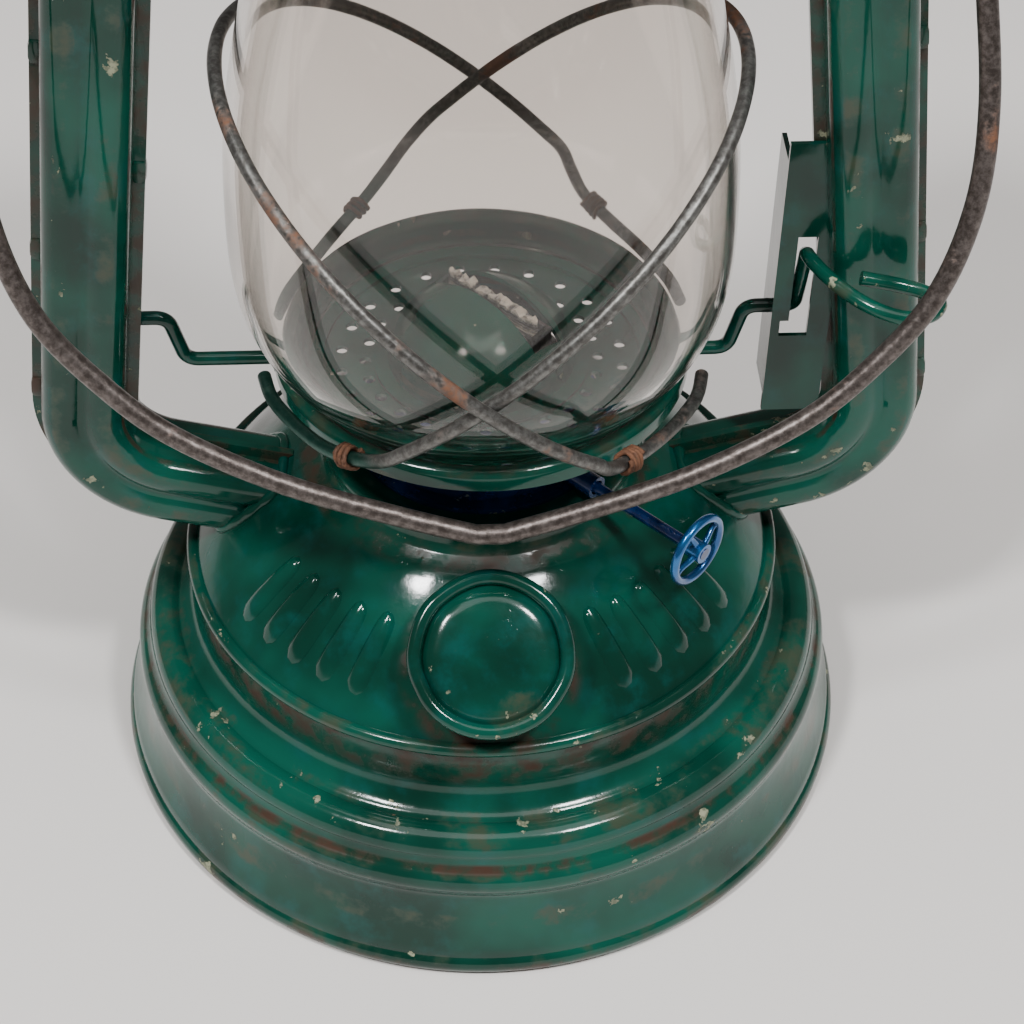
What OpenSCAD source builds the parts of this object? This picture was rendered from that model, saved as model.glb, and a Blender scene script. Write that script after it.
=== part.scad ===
// Oil lamp (tubular hurricane lantern) as an assembly of separate sheet-metal, wire and glass pieces.
// +Z is up, -Y is the side with the filler cap, X runs from side tube to side tube.
// The origin is on the lamp's axis, in the plane of the surface that it stands on.

/* [Fount] */
// Outer diameter of the rolled foot rim
base_d = 132; // [128:0.5:136]
// Diameter of the shoulder edge, where the domed top is folded onto the wall
shoulder_d = 102; // [100:0.5:103]
// Height of the shoulder edge
shoulder_z = 41; // [40:0.5:42]
// Thickness of the fount's sheet metal
sheet_t = 0.8; // [0.6:0.1:0.9]
// Diameter of the raised neck under the burner
neck_d = 54; // [52:0.5:55]
// Height of the neck's top
neck_z = 66; // [65.6:0.1:66.2]

/* [Filler cap] */
// Outer diameter of the screw cap
cap_d = 27; // [26:0.5:28]
// Angle between the cap's axis and the vertical
cap_tilt = 41; // [38:1:44]
// Distance of the filler hole from the lamp's axis
filler_r = 41; // [40:0.5:42]
// How far the cap rises in one full turn
cap_pitch = 2; // [1:0.5:2.5]

/* [Side tubes] */
// Width of a side tube between the outer edges of its seam flanges
tube_w = 17.4; // [17:0.1:18]
// Depth of a side tube, front to back
tube_d = 15; // [14:0.5:16]
// Width of each seam flange
flange_w = 1.9; // [1.5:0.1:2.2]
// How far the side tubes lean inwards towards the top
lean = 7.2; // [6.5:0.1:7.5]
// Slope of the lower tube stub that runs down into the fount
stub_slope = 15; // [13:1:17]

/* [Globe] */
// Diameter of the glass at its widest
globe_d = 80; // [78:0.5:80]
// Height of the widest place of the glass
globe_mid_z = 109; // [107:0.5:111]
// Thickness of the glass
glass_t = 1.7; // [1.5:0.1:1.9]

/* [Wires] */
// Diameter of the carrying bail's wire
bail_wire_d = 3.2; // [3:0.1:3.4]
// Diameter of the globe guard's wires
guard_wire_d = 2.3; // [2:0.1:2.3]
// Diameter of the lift lever's wire
lift_wire_d = 2.4; // [2.2:0.1:2.5]
// Height of the bail's pivots
bail_z = 190; // [188:1:192]

/* [Wick gear] */
// Direction of the wick's flat and of its shaft, seen from above
wick_dir = -44.5; // [-47:0.5:-42]
// Height of the wick shaft
shaft_z = 68.4; // [68.2:0.1:68.8]
// Diameter of the wick wheel
knob_d = 13; // [12:0.5:13.5]

/* [Hidden] */
$fn = 96;

paint = [0.02, 0.36, 0.28];
navy = [0.03, 0.10, 0.28];
steel = [0.42, 0.40, 0.38];
glass = [0.80, 0.76, 0.72, 0.35];
hair = 0.02;                       // hair-line gap between pieces that are soldered or folded together

base_r = base_d / 2;
wall_r = shoulder_d / 2 + 0.2;
bead_r = 1.2;                      // radius of the rolled bead at the shoulder
dome_c = [-8, 1];                  // centre of the dome's arc in the (radius, height) half-plane
dome_r = norm([shoulder_d / 2, shoulder_z] - dome_c);
neck_r = neck_d / 2;
collar_r = 20;
rim_r = 2.2;                       // radius of the rolled foot rim
rim_c = [base_r - rim_r, 1.9];
wick_off = 2.6;                    // distance of the wick's middle plane from the lamp's axis
shaft_off = -1;                    // the same for the wick shaft, on the other side
knob_r = 47.3;                     // distance of the wick wheel along its shaft
seat_z = 81.3;                     // height of the ledge that the glass stands on
lip_r = 34.3;                      // outer radius of the globe carrier's rolled lip
crown_r = 31;
crown_bottom = 208;
crown_top = 229;
chimney_r = 17;
lever_y = 3;                       // the lift lever's journals lie just behind the seam plane
lever_z = 87.9;
crank_r = 9.6;                     // throw of the lift cranks
crank_a = -86;                     // direction of the cranks at rest, from +Y towards +Z
slot_x = 51.9;                     // the lever's arm works in a slot at this X

// ---------- helpers for outlines in a (radius, height) half-plane ----------
function arc(c, r, a0, a1, n = 8) =
    [for (i = [0:n]) c + r * [cos(a0 + (a1 - a0) * i / n), sin(a0 + (a1 - a0) * i / n)]];
function unit(v) = v / norm(v);
function tangent(p, i) = unit(p[min(i + 1, len(p) - 1)] - p[max(i - 1, 0)]);
function beside(p, i, t) = p[i] + t * [tangent(p, i)[1], -tangent(p, i)[0]];
// a strip of thickness t on the right-hand side of the line p, kept off the axis
function strip(p, t) = concat(p, [for (i = [len(p) - 1:-1:0])
    let (q = beside(p, i, t)) [max(q[0], 0.01), q[1]]]);
function arc_height(c, r, x) = c[1] + sqrt(r * r - (x - c[0]) * (x - c[0]));

module shell(p, t) rotate_extrude() polygon(strip(p, t));
module ring(r, z, wire) translate([0, 0, z]) rotate_extrude() translate([r, 0]) circle(d = wire);
module band(r_in, r_out, z0, z1) translate([0, 0, z0]) difference() {
    cylinder(r = r_out, h = z1 - z0);
    translate([0, 0, -1]) cylinder(r = r_in, h = z1 - z0 + 2);
}

// ---------- helpers for bent wire: a smooth curve through a few places ----------
function spline(a, b, c, d, t) =
    0.5 * ((2 * b) + (c - a) * t + (2 * a - 5 * b + 4 * c - d) * t * t
           + (3 * b - a - 3 * c + d) * t * t * t);
function smooth(p, n) = let (k = len(p) - 1) concat(
    [for (i = [0:k - 1], j = [0:n - 1])
        spline(p[max(i - 1, 0)], p[i], p[i + 1], p[min(i + 2, k)], j / n)], [p[k]]);
// straight lines with their corners bent round
function rounded(p, r, n) = concat([p[0]], [for (i = [1:len(p) - 2], j = [0:n])
    let (a = p[i] + r * unit(p[i - 1] - p[i]), b = p[i] + r * unit(p[i + 1] - p[i]), t = j / n)
    (1 - t) * (1 - t) * a + 2 * t * (1 - t) * p[i] + t * t * b], [p[len(p) - 1]]);
function along(p, i) = unit(p[min(i + 1, len(p) - 1)] - p[max(i - 1, 0)]);
// side directions carried along the wire so that it doesn't twist
function carry(u, t) = unit(u - (u * t) * t);
function sides(p, i = 0, u = undef) =
    let (t = along(p, i),
         s = carry(u == undef ? (abs(t[2]) < 0.8 ? [0, 0, 1] : [0, 1, 0]) : u, t))
    i == len(p) - 1 ? [s] : concat([s], sides(p, i + 1, s));
module wire(p, d, m = 10) {
    s = sides(p);
    n = len(p);
    rings = [for (i = [0:n - 1], j = [0:m - 1])
        let (t = along(p, i), a = 360 * j / m)
        p[i] + d / 2 * (cos(a) * s[i] + sin(a) * cross(t, s[i]))];
    faces = concat([[for (j = [m - 1:-1:0]) j]], [[for (j = [0:m - 1]) (n - 1) * m + j]],
        [for (i = [0:n - 2], j = [0:m - 1])
            [i * m + j, i * m + (j + 1) % m, (i + 1) * m + (j + 1) % m, (i + 1) * m + j]]);
    polyhedron(rings, faces);
}

// ---------- fount ----------
skirt_line = concat(
    [[wall_r, shoulder_z - bead_r - hair], [wall_r, 36]],
    arc([wall_r + 5.2, 32.6], 5.2, 180, 250, 6),
    arc([56.9, 24.6], 3.3, 125, -10, 9),
    arc([59.4, 19.2], 3.3, 58, -32, 7),
    arc([98, 20], 36.2, 185.5, 204.5, 7),
    [[rim_c[0] + 1.45, 3.4]]);
dome_line = concat(
    [[collar_r + 1, neck_z], [neck_r - 1.2, neck_z]],
    arc([neck_r - 1.2, neck_z - 1.2], 1.2, 75, 0, 4),
    arc([neck_r + 3.4, 64.6], 3.4, 195, 232, 4),
    arc(dome_c, dome_r, 57, asin((shoulder_z - 1) / dome_r), 14));

module fount_base_plate() color(paint) shell(
    [[0.01, 7.6], [30, 7.6], [54, 6.8], [58, 4.92], [rim_c[0] + 0.1, 4.92]], sheet_t);
module fount_skirt() color(paint) {
    shell(skirt_line, sheet_t);
    rotate_extrude() intersection() {
        difference() {
            translate(rim_c) circle(rim_r);
            translate(rim_c) circle(rim_r - sheet_t);
        }
        square([base_r + 1, 6]);
    }
    band(rim_c[0] - 1.1, rim_c[0] + 1.1, 0, 0.5);
}
module filler_place() translate([0, -filler_r, arc_height(dome_c, dome_r, filler_r)])
    rotate([cap_tilt, 0, 0]) children();
module fount_dome() color(paint) difference() {
    union() {
        shell(dome_line, sheet_t);
        ring(shoulder_d / 2, shoulder_z, 2 * bead_r);
    }
    filler_place() cylinder(r = 10 + hair, h = 14, center = true);
}
module filler_neck() color(paint) filler_place() {
    band(8.4, 10, -3, 4.4);
    for (k = [0:1]) ring(10, 1.6 + 1.4 * k, 0.7);
}
module filler_cap() color(paint) filler_place() translate([0, 0, 0.6]) {
    cap_r = cap_d / 2;
    band(cap_r - 2.2, cap_r - 1.1, 0.2, 5.2);
    ring(cap_r - 1.25, 5.3, 2.5);
    shell(concat([[0.01, 6.6]], arc([0, -58.4], 65, 89, 81.6, 5), [[cap_r - 2.1, 4.9]]), 0.7);
}
module cap_gasket() color([0.18, 0.14, 0.1]) filler_place() band(8.2, 10.6, 4.44, 4.8);
module burner_collar() color(navy) difference() {
    union() {
        band(17.4, collar_r + 2.4, neck_z + hair, neck_z + 0.9);
        band(17.4, collar_r, neck_z + 0.9, 70.4);
        ring(collar_r, 70.4, 1.4);
    }
    shaft_place() cylinder(d = 4, h = 60);
}
module wick_place() rotate([0, 0, wick_dir]) translate([0, wick_off, 0]) children();
module shaft_place() rotate([0, 0, wick_dir]) translate([0, shaft_off, shaft_z])
    rotate([0, 90, 0]) children();
module burner_body() color(navy) difference() {
    union() {
        band(15.6, 17.1, 60.8, 73);
        translate([0, 0, 60]) cylinder(r = 15.7, h = 0.8);
        shell(concat([[0.01, 78], [14, 78]], arc([14, 75.6], 2.4, 80, 0, 5),
            [[16.6, 73.5], [18.6, 72.2], [18.6, 71.2]]), 0.9);
    }
    wick_place() translate([0, 0, 70]) cube([22.4, 5.4, 30], center = true);
    shaft_place() cylinder(d = 4, h = 60);
    for (k = [0:9]) rotate([0, 0, 36 * k]) translate([12.5, 0, 77])
        cylinder(d = 2.2, h = 4, center = true, $fn = 24);
}
module wick_tube() color(steel) wick_place() difference() {
    translate([0, 0, 75.75]) cube([21.6, 4.6, 29.5], center = true);
    translate([0, 0, 75]) cube([20.2, 3.2, 40], center = true);
    translate([0, -2, shaft_z]) cube([15, 2.6, 7], center = true);
}
module wick() color([0.75, 0.70, 0.60]) wick_place()
    translate([0, 0, 55]) cube([19.4, 2, 77], center = true);
module wick_shaft() color(navy) shaft_place() translate([0, 0, -8.8])
    cylinder(d = 2, h = knob_r + 10.4);
module spur_wheels() color(steel) shaft_place() for (k = [-1:1]) translate([0, 0, 5 * k]) difference() {
    cylinder(r = 2.4, h = 0.8, center = true, $fn = 10);
    cylinder(d = 2, h = 2, center = true);
}
module shaft_sleeve() color(navy) shaft_place() band(1.3, 1.95, 16.2, 26.5);
module wick_knob() color([0.08, 0.24, 0.45]) shaft_place() translate([0, 0, knob_r]) {
    difference() {
        cylinder(r = knob_d / 2 - 0.6, h = 1, center = true);
        cylinder(d = 2, h = 4, center = true);
        for (k = [0:5]) rotate([0, 0, 60 * k]) translate([3.6, 0, 0])
            cylinder(d = 2.2, h = 4, center = true, $fn = 24);
    }
    rotate_extrude() translate([knob_d / 2 - 0.9, 0]) circle(r = 0.9);
    difference() {
        cylinder(d = 4, h = 3, center = true);
        cylinder(d = 2, h = 4, center = true);
    }
}

// ---------- side tubes ----------
// local frame of a tube: x = away from the lamp's axis, y = up, z = towards the front
elbow_r = 16.5;
elbow_c = [49.6, 72.5];
bend_r = 20;
bend_z = 198;                      // height of the upper bend's centre
leg_x = elbow_c[0] + elbow_r * cos(lean);
leg_bottom = elbow_c[1] + elbow_r * sin(lean);
leg_len = (bend_z + bend_r * sin(lean) - leg_bottom) / cos(lean);
bend_c = [leg_x - leg_len * sin(lean) - bend_r * cos(lean), bend_z];
stub_len = 26;
body_w = tube_w - 2 * flange_w;

// outline of a front half: two rounded ribs with a shallow groove between them
function half_outline(t) = let (w = body_w / 2 - t, d = tube_d / 2 - t, c = 3.2)
    concat([[w, 0]], arc([w - c, d - c], c, 0, 80, 5), arc([0, d + 0.9], 2, -40, -140, 4),
        arc([c - w, d - c], c, 100, 180, 5), [[-w, 0]]);
module half_section() translate([0, hair / 2]) {
    difference() {
        polygon(half_outline(0));
        translate([0, -0.01]) polygon(half_outline(sheet_t));
    }
    for (e = [-1, 1]) translate([e * (tube_w - flange_w) / 2, 0.35])
        square([flange_w, 0.7], center = true);
    for (e = [-1, 1]) translate([e * (body_w / 2 - 0.4), 0.35]) square([0.8, 0.7], center = true);
}
module full_section() {
    for (m = [0, 1]) mirror([0, m]) polygon(half_outline(-hair));
    square([tube_w + 2 * hair, 1.5], center = true);
}
module about(c, a) translate(c) rotate([0, 0, a]) children();
module turn(c, r, a0, a1) about(c, a0)
    rotate_extrude(angle = a1 - a0) translate([r, 0]) children();
module straight(c, r, a, l) about(c, a) translate([r, 0, 0])
    rotate([90, 0, 0]) linear_extrude(l) children();
module tube_place(s) mirror([s < 0 ? 1 : 0, 0, 0]) rotate([90, 0, 0]) children();
module tube_sweep() {
    straight(elbow_c, elbow_r, stub_slope - 90, stub_len) children();
    turn(elbow_c, elbow_r, stub_slope - 90, lean) children();
    straight(bend_c, bend_r, lean, leg_len) children();
    turn(bend_c, bend_r, lean, 90) children();
}
module tube_half(s, front) color(paint) difference() {
    tube_place(s) mirror([0, 0, front ? 0 : 1]) tube_sweep() half_section();
    rotate_extrude() polygon(concat([[0, 20], [0, neck_z + 0.03]],
        [for (p = dome_line) p + [0.03, 0.03]], [[shoulder_d / 2, 20]]));
    translate([0, 0, 190]) cylinder(r = crown_r + hair, h = 50);
    if (s < 0 && !front) lever_axis() translate([0, 0, -60]) cylinder(r = lift_wire_d / 2 + 0.2, h = 8);
}
module left_tube_front() tube_half(-1, true);
module left_tube_back() tube_half(-1, false);
module right_tube_front() tube_half(1, true);
module right_tube_back() tube_half(1, false);
// the line that the lift lever turns about; local z runs along +X
module lever_axis() translate([0, lever_y, lever_z]) rotate([0, 90, 0]) children();

module lever_bracket() color(paint) {
    x0 = 47.4;
    plate_y = -0.75 - sheet_t;
    difference() {
        union() {
            translate([x0, plate_y, 68.6]) cube([9.6, sheet_t, 55]);
            translate([x0, plate_y, 72]) cube([sheet_t, 8.2, 48]);
        }
        tube_place(1) tube_sweep() full_section();
        // slot for the lever's arm, with a catch notch at its lower end
        translate([slot_x - 1.6, -5, 85]) cube([3.2, 5, 20.5]);
        translate([slot_x - 3, -5, 85]) cube([3, 5, 3.2]);
        lever_axis() translate([0, 0, 40]) cylinder(r = lift_wire_d / 2 + 0.1, h = 12);
    }
}

// ---------- crown, chimney and hood ----------
module crown_floor() color(paint)
    shell([[18.6, crown_bottom + 1.2], [19.2, crown_bottom + 0.8], [crown_r + 1.4, crown_bottom + 0.8]], 0.8);
module crown_cover() color(paint) difference() {
    shell(concat([[18.6, crown_top + 1.5], [19.4, crown_top + 0.6], [24, crown_top]],
        arc([crown_r - 4, crown_top - 4.2], 4, 85, 0, 6),
        [[crown_r, crown_bottom + 0.85]]), 0.8);
    for (s = [-1, 1]) tube_place(s) translate([crown_r - 4, 218, 0]) rotate([0, 90, 0])
        cylinder(r = 5.8, h = 8);
}
module chimney_spring() color(steel) {
    turns = 3;
    wire([for (k = [0:16 * turns]) [20.4 * cos(22.5 * k), 20.4 * sin(22.5 * k),
        crown_top - 5.9 + 4.6 * k / (16 * turns)]], 1.2, 8);
}
module chimney_tube() color(paint) {
    band(chimney_r - 0.8, chimney_r, 197, 241);
    band(chimney_r, 21.4, 209.6, 210.4);
}
module globe_bell() color(paint) shell(
    [[chimney_r + 0.85, 202], [chimney_r + 0.85, 198], [18.6, 195.4], [22, 190.4], [22.6, 187.3],
     [27.6, 187.3], [28, 186.9], [28, 183.8]], 0.8);
module canopy_hood() color(paint) {
    shell(concat([[0.01, 253.6], [3, 253.5]], arc([3, 219.5], 34, 88, 52, 8), [[29, 243.6]]), 0.8);
    ring(29.2, 243.4, 2);
}
module hood_posts() color(paint) for (k = [0:2]) rotate([0, 0, 120 * k + 30])
    translate([chimney_r + 0.02, -2.5, 233]) cube([0.9, 5, 16.05]);
module top_ring() color(steel) {
    translate([0, 0, 261.2]) rotate([90, 0, 0]) rotate_extrude() translate([6.6, 0]) circle(d = 2);
}
module bail_ear(s) color(paint) difference() {
    union() {
        translate([s * 61.9, 0, bail_z]) rotate([0, 90, 0]) cylinder(r = 5.2, h = 1.2, center = true);
        translate([s * 61.9, 0, bail_z - 6]) cube([1.2, 10.4, 12], center = true);
        translate([s * 59.4, 0, bail_z - 9]) cube([6.2, 5, 6], center = true);
    }
    tube_place(s) tube_sweep() full_section();
    translate([s * 61, 0, bail_z]) rotate([0, 90, 0])
        cylinder(r = bail_wire_d / 2 + 0.2, h = 12, center = true);
}
module left_bail_ear() bail_ear(-1);
module right_bail_ear() bail_ear(1);

// ---------- globe and its carrier ----------
globe_line = smooth([[25, 186.2], [25.5, 181], [30.4, 166], [35.3, 149], [38.9, 130],
    [globe_d / 2, globe_mid_z + 3], [globe_d / 2 - 0.6, 101], [36.9, 93.4], [33.4, 88.6],
    [31, 85.6], [30.3, seat_z + 0.06]], 4);
module globe() color(glass) shell(globe_line, glass_t);
module globe_carrier() color(paint) {
    shell(concat([[26.6, seat_z], [30.4, seat_z], [31.2, seat_z + 0.7]],
        arc([lip_r - 1.5, 84.8], 1.5, 180, 0, 8), [[lip_r, 82.8]]), 0.8);
    // feet under the lip that the cranks push up
    for (s = [0, 1]) mirror([s, 0, 0]) intersection() {
        band(lip_r - 0.8, lip_r, 79.8, 83.2);
        translate([28, -2, 79]) cube([8, 18, 6]);
    }
}
module perforated_plate() color(paint) difference() {
    band(14.2, 28, seat_z - 1.62, seat_z - 0.82);
    for (row = [0:1], k = [0:23]) rotate([0, 0, 15 * k + 7.5 * row])
        translate([19.4 + 4.2 * row, 0, seat_z - 2]) cylinder(d = 2, h = 3, $fn = 20);
}
module burner_cone() color(paint) difference() {
    shell(concat([[0.01, 94.4]], arc([0, 77.4], 17, 88, 32, 9), [[15.2, 82.6], [15.5, 81.35],
        [18, 81.35]]), 0.8);
    wick_place() translate([0, 0, 92]) cube([24.4, 6.4, 16], center = true);
}
// a guard wire is a leaning ring: high on one side, fixed to the lip on the other
module guard_wire(s, reach, first, tail) color(steel) {
    high = 107.5;
    slope = 0.85;
    long = globe_d / 2 - 0.7;
    loop = [for (a = [first:6:360 - first])
        [long * cos(a), reach * sin(a), high - slope * long * cos(a)]];
    mirror([s < 0 ? 1 : 0, 0, 0]) wire(concat(
        [for (k = [len(tail) - 1:-1:0]) [tail[k][0], -tail[k][1], tail[k][2]]], loop, tail),
        guard_wire_d, 8);
}
module guard_wire_left() guard_wire(1, globe_d / 2 + 4.5, 66,
    [[17.6, -38.4, 91], [19.8, -34.6, 88], [24, -29.6, 86], [29.5, -22.5, 84.6],
     [33.9, -15, 83.8], [35.5, -9, 83.5]]);
module guard_wire_right() guard_wire(-1, globe_d / 2 + 2.1, 78,
    [[12.4, -39.4, 96.4], [16, -37, 92.4], [20.4, -32.6, 88.8], [25.4, -27, 86.2],
     [30.2, -19.8, 84.6], [33.9, -13, 83.8], [35.5, -7, 83.5]]);

// ---------- lift lever and its mate on the other side ----------
pin_y = lever_y + crank_r * cos(crank_a);
pin_z = lever_z + crank_r * sin(crank_a);
arm = [-0.292, 0.956];             // direction of the lever's arm in the Y-Z plane
module lift_wire() color(paint) {
    arm_at = function(r) [slot_x, lever_y + r * arm[0], lever_z + r * arm[1]];
    thumb = [arm_at(15), [52.6, -4.5, 102.6], [55.5, -9.6, 102.2], [60, -14.2, 101.5], [65, -16.6, 101],
             [69.3, -16.2, 101.1], [71, -13.9, 101.7], [68.6, -11.9, 102.4], [64, -10.9, 103.2],
             [59, -10.4, 104.1]];
    wire(concat(smooth([for (k = [len(thumb) - 1:-1:0]) thumb[k]], 4),
        rounded([arm_at(12), arm_at(0), [43.6, lever_y, lever_z], [41.4, pin_y, pin_z],
                 [30.6, pin_y, pin_z]], 2.2, 6)), lift_wire_d, 10);
}
module lift_link() color(paint)
    wire(rounded([[-59, lever_y, lever_z], [-51.4, lever_y, lever_z], [-49.2, pin_y, pin_z],
        [-30.6, pin_y, pin_z]], 2.2, 6), lift_wire_d, 10);

// ---------- bail ----------
bail_lean = 19.8;                  // it rests this far forward of hanging straight down
module bail() color(steel) translate([0, 0, bail_z]) rotate([-bail_lean, 0, 0]) {
    // half of the wire: X and the distance below the pivots
    right = concat([[60.7, 0]], arc([63, 3], 3, -90, 0, 6),
        smooth([[66.2, 6], [67.3, 13], [70.2, 34], [72, 52], [71, 67], [66, 81],
                [57, 92], [47, 100.4], [31, 108.6], [14, 114.4], [2.2, 117.8]], 4));
    wire(concat([for (p = right) [p[0], 0, -p[1]]],
        [for (k = [len(right) - 1:-1:0]) [-right[k][0], 0, -right[k][1]]]), bail_wire_d, 12);
}

fount_base_plate();
fount_skirt();
fount_dome();
filler_neck();
burner_collar();
left_tube_front();
left_tube_back();
right_tube_front();
right_tube_back();
lever_bracket();
crown_floor();
crown_cover();
chimney_spring();
left_bail_ear();
right_bail_ear();
burner_body();
wick_tube();
shaft_sleeve();
filler_cap();
cap_gasket();
wick_shaft();
spur_wheels();
wick_knob();
wick();
globe_carrier();
perforated_plate();
burner_cone();
guard_wire_left();
guard_wire_right();
globe();
lift_wire();
lift_link();
globe_bell();
chimney_tube();
canopy_hood();
hood_posts();
top_ring();
bail();
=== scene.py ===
# %% [markdown]
# # A tubular hurricane lantern
# The lantern is thin pressed steel under green lacquer, with a glass globe held
# between a carrier below and a sprung chimney above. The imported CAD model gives
# every place and size. Here the sheet metal gets smoother turned skins, the wires
# get round bent rods, and every surface gets a finish with wear.

# %% Load the frame
import bmesh
import bpy
import math
import numpy as np
from mathutils import Matrix, Vector, noise


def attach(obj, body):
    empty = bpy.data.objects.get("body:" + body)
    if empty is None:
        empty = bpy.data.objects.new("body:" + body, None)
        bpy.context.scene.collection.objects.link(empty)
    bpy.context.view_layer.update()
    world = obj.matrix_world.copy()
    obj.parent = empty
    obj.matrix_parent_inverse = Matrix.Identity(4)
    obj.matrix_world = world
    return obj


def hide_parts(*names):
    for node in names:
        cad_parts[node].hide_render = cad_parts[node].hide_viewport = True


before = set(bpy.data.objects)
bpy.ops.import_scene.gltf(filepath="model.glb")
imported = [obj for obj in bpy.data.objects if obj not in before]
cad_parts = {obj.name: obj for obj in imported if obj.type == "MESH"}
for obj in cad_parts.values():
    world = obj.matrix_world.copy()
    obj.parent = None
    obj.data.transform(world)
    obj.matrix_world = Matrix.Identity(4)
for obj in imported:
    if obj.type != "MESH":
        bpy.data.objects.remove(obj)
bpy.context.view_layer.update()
MM = 0.001

# %% [markdown]
# Most of this lantern was turned or pressed on round tools, so its outlines are
# chains of arcs in a half-plane of radius and height. A few small helpers draw
# those outlines in millimetres, with many short steps so that gloss runs smoothly.

# %% Outlines made of arcs and smooth curves
def arc(centre, radius, start, end, steps=12):
    angles = np.radians(np.linspace(start, end, steps + 1))
    return [(centre[0] + radius * math.cos(a), centre[1] + radius * math.sin(a)) for a in angles]


def full_turn(steps):
    """Evenly spaced angles once round, in radians."""
    return np.linspace(0, 2 * math.pi, steps + 1)[:-1]


def smooth(points, steps):
    """A Catmull-Rom curve through the points, as the CAD wires and the globe use."""
    pts = np.array(points, float)
    last = len(pts) - 1
    out = []
    for i in range(last):
        a, b, c, d = pts[max(i - 1, 0)], pts[i], pts[i + 1], pts[min(i + 2, last)]
        for j in range(steps):
            t = j / steps
            out.append(0.5 * (2 * b + (c - a) * t + (2 * a - 5 * b + 4 * c - d) * t * t
                              + (3 * b - a - 3 * c + d) * t ** 3))
    return out + [pts[last]]


def thicken(line, thickness):
    """A closed strip on the right-hand side of an open line."""
    pts = np.array(line, float)
    along = np.gradient(pts, axis=0)
    along /= np.maximum(np.linalg.norm(along, axis=1, keepdims=True), 1e-9)
    other = pts + thickness * np.stack([along[:, 1], -along[:, 0]], axis=1)
    other[:, 0] = np.maximum(other[:, 0], 0.01)
    return list(map(tuple, pts)) + list(map(tuple, other[::-1]))


# %% Turn an outline into a round skin
CREASE = math.radians(38)


def new_piece(name, vertices, faces, body, slot, material):
    mesh = bpy.data.meshes.new(name)
    mesh.from_pydata([tuple(v) for v in vertices], [], faces)
    mesh.validate()
    work = bmesh.new()
    work.from_mesh(mesh)
    bmesh.ops.recalc_face_normals(work, faces=work.faces)
    work.to_mesh(mesh)
    work.free()
    mesh.update()
    mesh.shade_smooth()
    mesh.set_sharp_from_angle(angle=CREASE)
    piece = bpy.data.objects.new(name, mesh)
    bpy.context.scene.collection.objects.link(piece)
    piece.data.materials.append(material)
    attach(piece, body)
    print(f"{name}: {len(mesh.vertices)} vertices on {body}")
    return piece


def dent(x, y, z, depth, size=26.0, seed=0.0):
    """How far thin sheet is pushed in at a place, in millimetres; never outwards."""
    wave = noise.noise(Vector((x / size + seed, y / size, z / size)))
    return depth * (0.5 + 0.5 * math.tanh(2.2 * wave))


def turned(outline, steps=192, dents=0.0, seed=0.0):
    """Vertices and faces of a closed outline turned about Z, with shallow dents."""
    vertices, faces, count = [], [], len(outline)
    for i in range(steps):
        a = 2 * math.pi * i / steps
        for r, z in outline:
            inward = dent(60 * math.cos(a), 60 * math.sin(a), z, dents, seed=seed) if dents else 0
            r_in = max(r - inward, 0.01) if r > 1 else r
            vertices.append((r_in * math.cos(a) * MM, r_in * math.sin(a) * MM, z * MM))
    for i in range(steps):
        for j in range(count):
            k, m = (i + 1) % steps, (j + 1) % count
            faces.append((i * count + j, k * count + j, k * count + m, i * count + m))
    return vertices, faces


# %% Sweep a round rod along a bent path
def rod(path, radius, sides=16, closed=False):
    """Vertices and faces of a round wire; radius is a number or a function of the step."""
    pts = [Vector(p) * MM for p in path]
    count = len(pts)
    size = radius if callable(radius) else (lambda i: radius)
    vertices, faces, side = [], [], None
    for i, p in enumerate(pts):
        ahead = pts[(i + 1) % count] if closed else pts[min(i + 1, count - 1)]
        behind = pts[i - 1] if closed else pts[max(i - 1, 0)]
        along = (ahead - behind).normalized()
        if side is None:
            side = Vector((0, 0, 1)) if abs(along.z) < 0.8 else Vector((0, 1, 0))
        side = (side - along * side.dot(along)).normalized()
        up = along.cross(side)
        for j in range(sides):
            a = 2 * math.pi * j / sides
            vertices.append(p + size(i) * MM * (math.cos(a) * side + math.sin(a) * up))
    for i in range(count if closed else count - 1):
        k = (i + 1) % count
        for j in range(sides):
            m = (j + 1) % sides
            faces.append((i * sides + j, i * sides + m, k * sides + m, k * sides + j))
    if not closed:
        faces.append(tuple(range(sides - 1, -1, -1)))
        faces.append(tuple((count - 1) * sides + j for j in range(sides)))
    return vertices, faces


# %% [markdown]
# A finish is a small network of shader nodes. Writing one as a recipe, with short
# names for noise, steps and mixes, keeps each recipe readable. All noises use
# object coordinates in metres, so a grain stays at its real size on every piece.

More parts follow.
